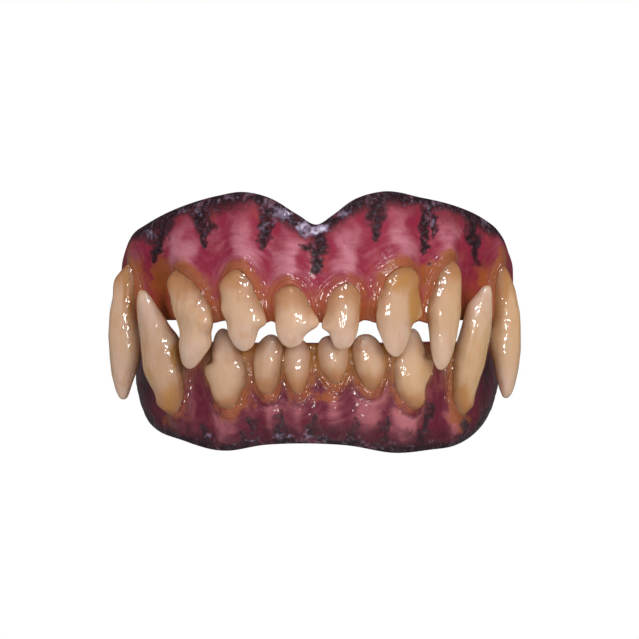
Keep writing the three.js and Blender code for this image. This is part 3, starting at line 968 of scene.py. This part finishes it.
def gum_finish(name, rose, pink, brick, painted_shade, tan, gap_stain_and_shade, varnish):
    finish = Finish(name)
    solid = finish.coords.outputs["Object"]
    laid = finish.coords.outputs["UV"]
    margin = finish.weight("margin")
    strokes = finish.swing(finish.speckle(finish.spread(laid, (3.0, 12.0, 1.0)), 1.6, 4.0))
    arcs = finish.swing(finish.speckle(finish.follow(solid, 260.0, finish.total((margin, 0.7))), 1.0, 3.0))
    patches = finish.swing(finish.speckle(solid, 260.0, 4.0))
    clouds = finish.swing(finish.speckle(finish.spread(solid, (1.0, 1.0, 0.7)), 190.0, 3.0))
    mottle = finish.swing(finish.speckle(solid, 620.0, 4.0, 0.62))
    flecks = finish.swing(finish.speckle(solid, 1500.0, 4.0, 0.6))
    rings = finish.swing(finish.speckle(finish.follow(solid, 300.0, finish.total((margin, 1.7))), 1.0, 0.0))
    beads = finish.swing(finish.speckle(solid, 1300.0, 0.0))
    dry = finish.total(
        (finish.weight("pale"), 1.0), (arcs, 0.2), (strokes, 0.06), (patches, 0.22), (mottle, 0.14)
    )
    paint = finish.coat(rose, pink, finish.step(dry, -0.1, 1.0))
    paint = finish.coat(paint, brick, finish.step(clouds, 0.3, 0.9, 0.0, 0.5))
    # Painted shade on the sides, under the rim and at the biting edge
    painted_shade_cover = finish.total((finish.weight("shade"), 0.8), (patches, 0.3), (mottle, 0.25))
    paint = finish.coat(paint, painted_shade, finish.step(painted_shade_cover, 0.2, 0.9, 0.0, 0.9))
    stain = finish.total((finish.weight("stain"), 1.0), (mottle, 0.2), (patches, 0.2))
    paint = finish.coat(paint, tan, finish.step(stain, 0.1, 0.65, 0.0, 0.8))
    paint = finish.coat(paint, BROWN_WASH, finish.step(stain, 0.5, 1.1, 0.0, 0.8))
    # Brown stain with painted shade where the depth weight marks gaps and hollows
    sunk_stain_and_shade = finish.sums("MULTIPLY", finish.weight("depth"), finish.step(mottle, -0.8, 0.8, 0.6, 0.95))
    paint = finish.coat(paint, gap_stain_and_shade, sunk_stain_and_shade)
    laden = finish.weight("pigment")
    pigment = finish.total((laden, 1.0), (mottle, 0.22), (patches, 0.15), (flecks, 0.18))
    wash = finish.sums("MULTIPLY", finish.step(pigment, 0.0, 0.7, 0.0, 0.7), finish.step(laden, 0.02, 0.3))
    paint = finish.coat(paint, BROWN_PIGMENT, wash)
    fleck_and_reflection = finish.total((flecks, 0.4), (finish.weight("fleck_and_reflection"), 0.4), (clouds, 0.3), (mottle, 0.5))
    dark = finish.coat(BLACK_PIGMENT, SMOKE, finish.step(flecks, -0.2, 1.0, 0.0, 0.75))
    dark = finish.coat(dark, BROWN_PIGMENT, finish.step(mottle, 0.0, 0.9, 0.0, 0.85))
    # Grey flecks, partly painted reflection, and a pale painted highlight mostly on the notch
    dark = finish.coat(dark, GREY_FLECK_AND_REFLECTION, finish.step(fleck_and_reflection, 0.3, 1.5, 0.0, 0.9))
    dark = finish.coat(dark, PAINTED_PALE_HIGHLIGHT, finish.step(fleck_and_reflection, 1.2, 1.9, 0.0, 0.8))
    core = finish.sums("MULTIPLY", finish.step(pigment, 0.1, 1.0, 0.0, 0.95), finish.step(laden, 0.1, 0.4))
    paint = finish.coat(paint, dark, core)
    paint = finish.coat(PLAIN_ACRYLIC, paint, finish.weight("painted"))
    height = finish.total((flecks, 0.15), (mottle, 0.3))
    ring = finish.sums("MULTIPLY", rings, finish.step(margin, 1.2, 2.6, 1.0, 0.0))
    glint = finish.total((beads, 0.2), (ring, 1.2))
    rough = finish.step(patches, -0.6, 0.6, 0.46, 0.58)
    finish.settle(Base_Color=paint, Roughness=rough, Specular_IOR_Level=0.1)
    wet = finish.total((margin, 1.0), (patches, 0.5))
    wet = finish.step(wet, 1.0, 2.6, 1.0, varnish)
    notch = finish.step(finish.weight("fleck_and_reflection"), 2.0, 3.0, 0.0, 0.8)
    wet = finish.sums("MULTIPLY", finish.sums("MAXIMUM", wet, notch), finish.weight("painted"))
    finish.settle(Coat_Weight=wet, Coat_IOR=1.6, Coat_Roughness=0.04)
    finish.settle(Normal=finish.relief(height, 0.00012), Coat_Normal=finish.relief(glint, 0.00012))
    return finish.material


upper_paint = gum_finish(
    "upper_gum_paint", colour(128, 34, 56), colour(174, 108, 121), colour(150, 68, 58), colour(112, 40, 50),
    colour(146, 80, 32), colour(138, 62, 18), 0.03,
)
lower_paint = gum_finish(
    "lower_gum_paint", colour(90, 20, 40), colour(160, 92, 100), colour(112, 44, 44), colour(60, 18, 32),
    colour(146, 76, 32), colour(148, 100, 50), 0.35,
)
gum_pieces["upper"].data.materials.append(upper_paint)
gum_pieces["lower"].data.materials.append(lower_paint)
print("gum finishes:", [piece.data.materials[0].name for piece in gum_pieces.values()])

# %% [markdown]
# ### Tooth acrylic
# The teeth are tinted in the acrylic itself: amber at the neck, ivory in the middle, greyish pink at the tip,
# with a faint streaky veil. The flanks get a brighter amber that is partly tint and partly painted light,
# and the duller teeth a darker ivory that is partly painted shade. Light enters them, which the subsurface
# share gives. The polish is high but not flat, so a fine relief in the clear coat breaks each highlight into
# a few bright dabs.

# %% Mix the tooth finish
NECK_AMBER, IVORY, TIP_GREY = colour(160, 106, 54), colour(192, 158, 128), colour(192, 163, 146)
OCHRE_STAIN, GUMLINE_TAN, WARM_IVORY = colour(164, 112, 32), colour(146, 92, 50), colour(188, 150, 104)
# The dull ivory is partly painted shade, and the flank colour is amber made brighter as painted light
DULL_SHADED_IVORY, AMBER_VEIL, FLANK_AMBER_AND_PAINTED_LIGHT = colour(174, 138, 112), colour(176, 132, 84), colour(208, 162, 98)


def tooth_finish():
    finish = Finish("tooth_tint")
    solid = finish.coords.outputs["Object"]
    streaks = finish.swing(finish.speckle(finish.spread(solid, (1.0, 1.0, 0.16)), 900.0, 3.0))
    clouds = finish.swing(finish.speckle(solid, 260.0, 3.0))
    waves = finish.speckle(finish.spread(solid, (1.0, 1.0, 0.75)), 1300.0, 0.0)
    tipward = finish.total((finish.weight("tipward"), 1.0), (clouds, 0.12))
    warmth = finish.total((finish.weight("warmth"), 0.5), (streaks, 0.15), (clouds, 0.1))
    paint = finish.coat(IVORY, WARM_IVORY, finish.step(warmth, 0.0, 0.8, 0.0, 0.8))
    # Duller tone and painted shade on the recessed teeth
    paint = finish.coat(paint, DULL_SHADED_IVORY, finish.weight("dull_and_shaded"))
    paint = finish.coat(paint, TIP_GREY, finish.step(tipward, 0.5, 0.95, 0.0, 0.9))
    veil = finish.total((clouds, 0.6), (streaks, 0.6))
    paint = finish.coat(paint, AMBER_VEIL, finish.step(veil, -0.2, 1.0, 0.0, 0.45))
    # Amber tint and painted light on the flanks
    flank = finish.total((finish.weight("flank"), 0.9), (clouds, 0.2), (streaks, 0.1))
    paint = finish.coat(paint, FLANK_AMBER_AND_PAINTED_LIGHT, finish.step(flank, 0.1, 1.0, 0.0, 0.6))
    necked = finish.total((finish.weight("neck"), 1.0), (clouds, 0.15), (streaks, 0.08))
    paint = finish.coat(paint, NECK_AMBER, finish.step(necked, 0.0, 1.0, 0.0, 0.9))
    ochre = finish.total((finish.weight("ochre"), 1.0), (clouds, 0.2), (streaks, 0.1))
    paint = finish.coat(paint, OCHRE_STAIN, finish.step(ochre, 0.0, 0.8, 0.0, 0.9))
    gumline = finish.total((finish.weight("gumline"), 1.0), (clouds, 0.1))
    paint = finish.coat(paint, GUMLINE_TAN, finish.step(gumline, 0.1, 0.9, 0.0, 0.8))
    finish.settle(Base_Color=paint, Roughness=finish.step(clouds, -0.6, 0.6, 0.40, 0.48))
    finish.settle(Subsurface_Weight=0.8, Subsurface_Radius=(0.0026, 0.0017, 0.0011), Subsurface_Scale=1.0)
    finish.settle(Normal=finish.relief(waves, 0.00003))
    finish.settle(Coat_Weight=1.0, Coat_IOR=1.6, Coat_Roughness=0.04)
    finish.settle(Coat_Normal=finish.relief(waves, 0.00017))
    return finish.material


tooth_tint = tooth_finish()
for piece in tooth_pieces:
    piece.data.materials.append(tooth_tint)
print("tooth finish on", len(tooth_pieces), "teeth")

# %% [markdown]
# ## Camera and studio
# The picture is taken level, straight at the bite, from nearly half a metre with a long lens. The set is
# held in the air as a mouth would hold it, over a wide white floor with a white wall all round it.

# %% Set the camera
SENSOR = 36.0
VIEW_WIDTH = 102.24

camera = bpy.data.objects.new("camera", bpy.data.cameras.new("camera"))
camera.data.sensor_width = SENSOR
camera.data.lens = SENSOR * VIEW_DISTANCE / VIEW_WIDTH
camera.data.clip_start = 0.01
camera.location = EYE * MM
camera.rotation_euler = (math.radians(90), 0, 0)
bpy.context.scene.collection.objects.link(camera)
bpy.context.scene.camera = camera
print("lens:", round(camera.data.lens, 1), "mm")

# %% Build the white floor and wall
FLOOR_DROP, STUDIO_RADIUS, WALL_HEIGHT = 0.5, 1.6, 1.8


def white_studio():
    bm = bmesh.new()
    floor = bmesh.ops.create_circle(bm, cap_ends=True, radius=STUDIO_RADIUS, segments=96)["verts"]
    bmesh.ops.translate(bm, verts=floor, vec=(0, 0, -FLOOR_DROP))
    rim = [edge for edge in bm.edges if edge.is_boundary]
    wall = bmesh.ops.extrude_edge_only(bm, edges=rim)["geom"]
    raised = [part for part in wall if isinstance(part, bmesh.types.BMVert)]
    bmesh.ops.translate(bm, verts=raised, vec=(0, 0, WALL_HEIGHT))
    corner = [edge for edge in bm.edges if len(edge.link_faces) == 2 and edge.calc_face_angle() > 1.0]
    bmesh.ops.bevel(
        bm, geom=corner, offset=0.4, affect="EDGES", segments=10, profile=0.5, material=-1
    )
    mesh = bpy.data.meshes.new("white_studio")
    bm.to_mesh(mesh)
    bm.free()
    studio = bpy.data.objects.new("white_studio", mesh)
    bpy.context.scene.collection.objects.link(studio)
    return studio


studio = white_studio()
paper = Finish("white_paper")
paper.settle(Base_Color=(0, 0, 0, 1), Specular_IOR_Level=0.0)
paper.settle(Emission_Color=(1, 1, 1, 1), Emission_Strength=1.0)
studio.data.materials.append(paper.material)
studio.visible_glossy = False
studio.visible_diffuse = False
studio.visible_shadow = False
print("studio radius:", STUDIO_RADIUS, "m")

# %% [markdown]
# The key light is a small softbox just over the lens, a little to the right, so highlights stay small. Two
# wide softboxes at the sides and one behind fill the shade, and they aren't mirrored in the varnish, which
# keeps it clear. A cool softbox above catches the rolled rim. The world is even, and dimmer behind the set.

# %% Light the set


def softbox(name, place, size, power, tint, mirrored=True):
    lamp = bpy.data.lights.new(name, "AREA")
    lamp.shape = "DISK"
    lamp.size = size
    lamp.energy = power
    lamp.color = tint
    holder = bpy.data.objects.new(name, lamp)
    holder.location = place
    holder.rotation_euler = (-Vector(place)).to_track_quat("-Z", "Y").to_euler()
    holder.visible_camera = False
    holder.visible_glossy = mirrored
    bpy.context.scene.collection.objects.link(holder)
    return holder


softbox("key", (0.075, -0.46, 0.05), 0.12, 0.86, (1.0, 0.98, 0.94))
softbox("left", (-0.46, -0.3, 0.08), 0.5, 1.1, (1.0, 0.95, 0.97), mirrored=False)
softbox("right", (0.46, -0.3, 0.08), 0.5, 1.5, (1.0, 0.98, 0.93), mirrored=False)
softbox("overhead", (0.0, -0.28, 0.4), 0.09, 0.45, (0.86, 0.9, 1.0))
softbox("behind", (0.0, 0.6, 0.25), 0.5, 3.0, (1.0, 1.0, 1.0), mirrored=False)

# %% Fill the studio with even light
world = bpy.data.worlds.new("studio_air")
world.use_nodes = True
air = world.node_tree.nodes
away = air.new("ShaderNodeSeparateXYZ")
dim = air.new("ShaderNodeMapRange")
world.node_tree.links.new(air.new("ShaderNodeTexCoord").outputs["Generated"], away.inputs["Vector"])
world.node_tree.links.new(away.outputs["Y"], dim.inputs["Value"])
world.node_tree.links.new(dim.outputs["Result"], air["Background"].inputs["Strength"])
for title, number in (("From Min", -0.6), ("From Max", 0.4), ("To Min", 0.56), ("To Max", 0.14)):
    dim.inputs[title].default_value = number
air["Background"].inputs["Color"].default_value = (1.0, 1.0, 1.0, 1.0)
bpy.context.scene.world = world
bpy.context.scene.view_settings.view_transform = "Standard"
print("light from the front:", round(dim.inputs["To Min"].default_value, 2))
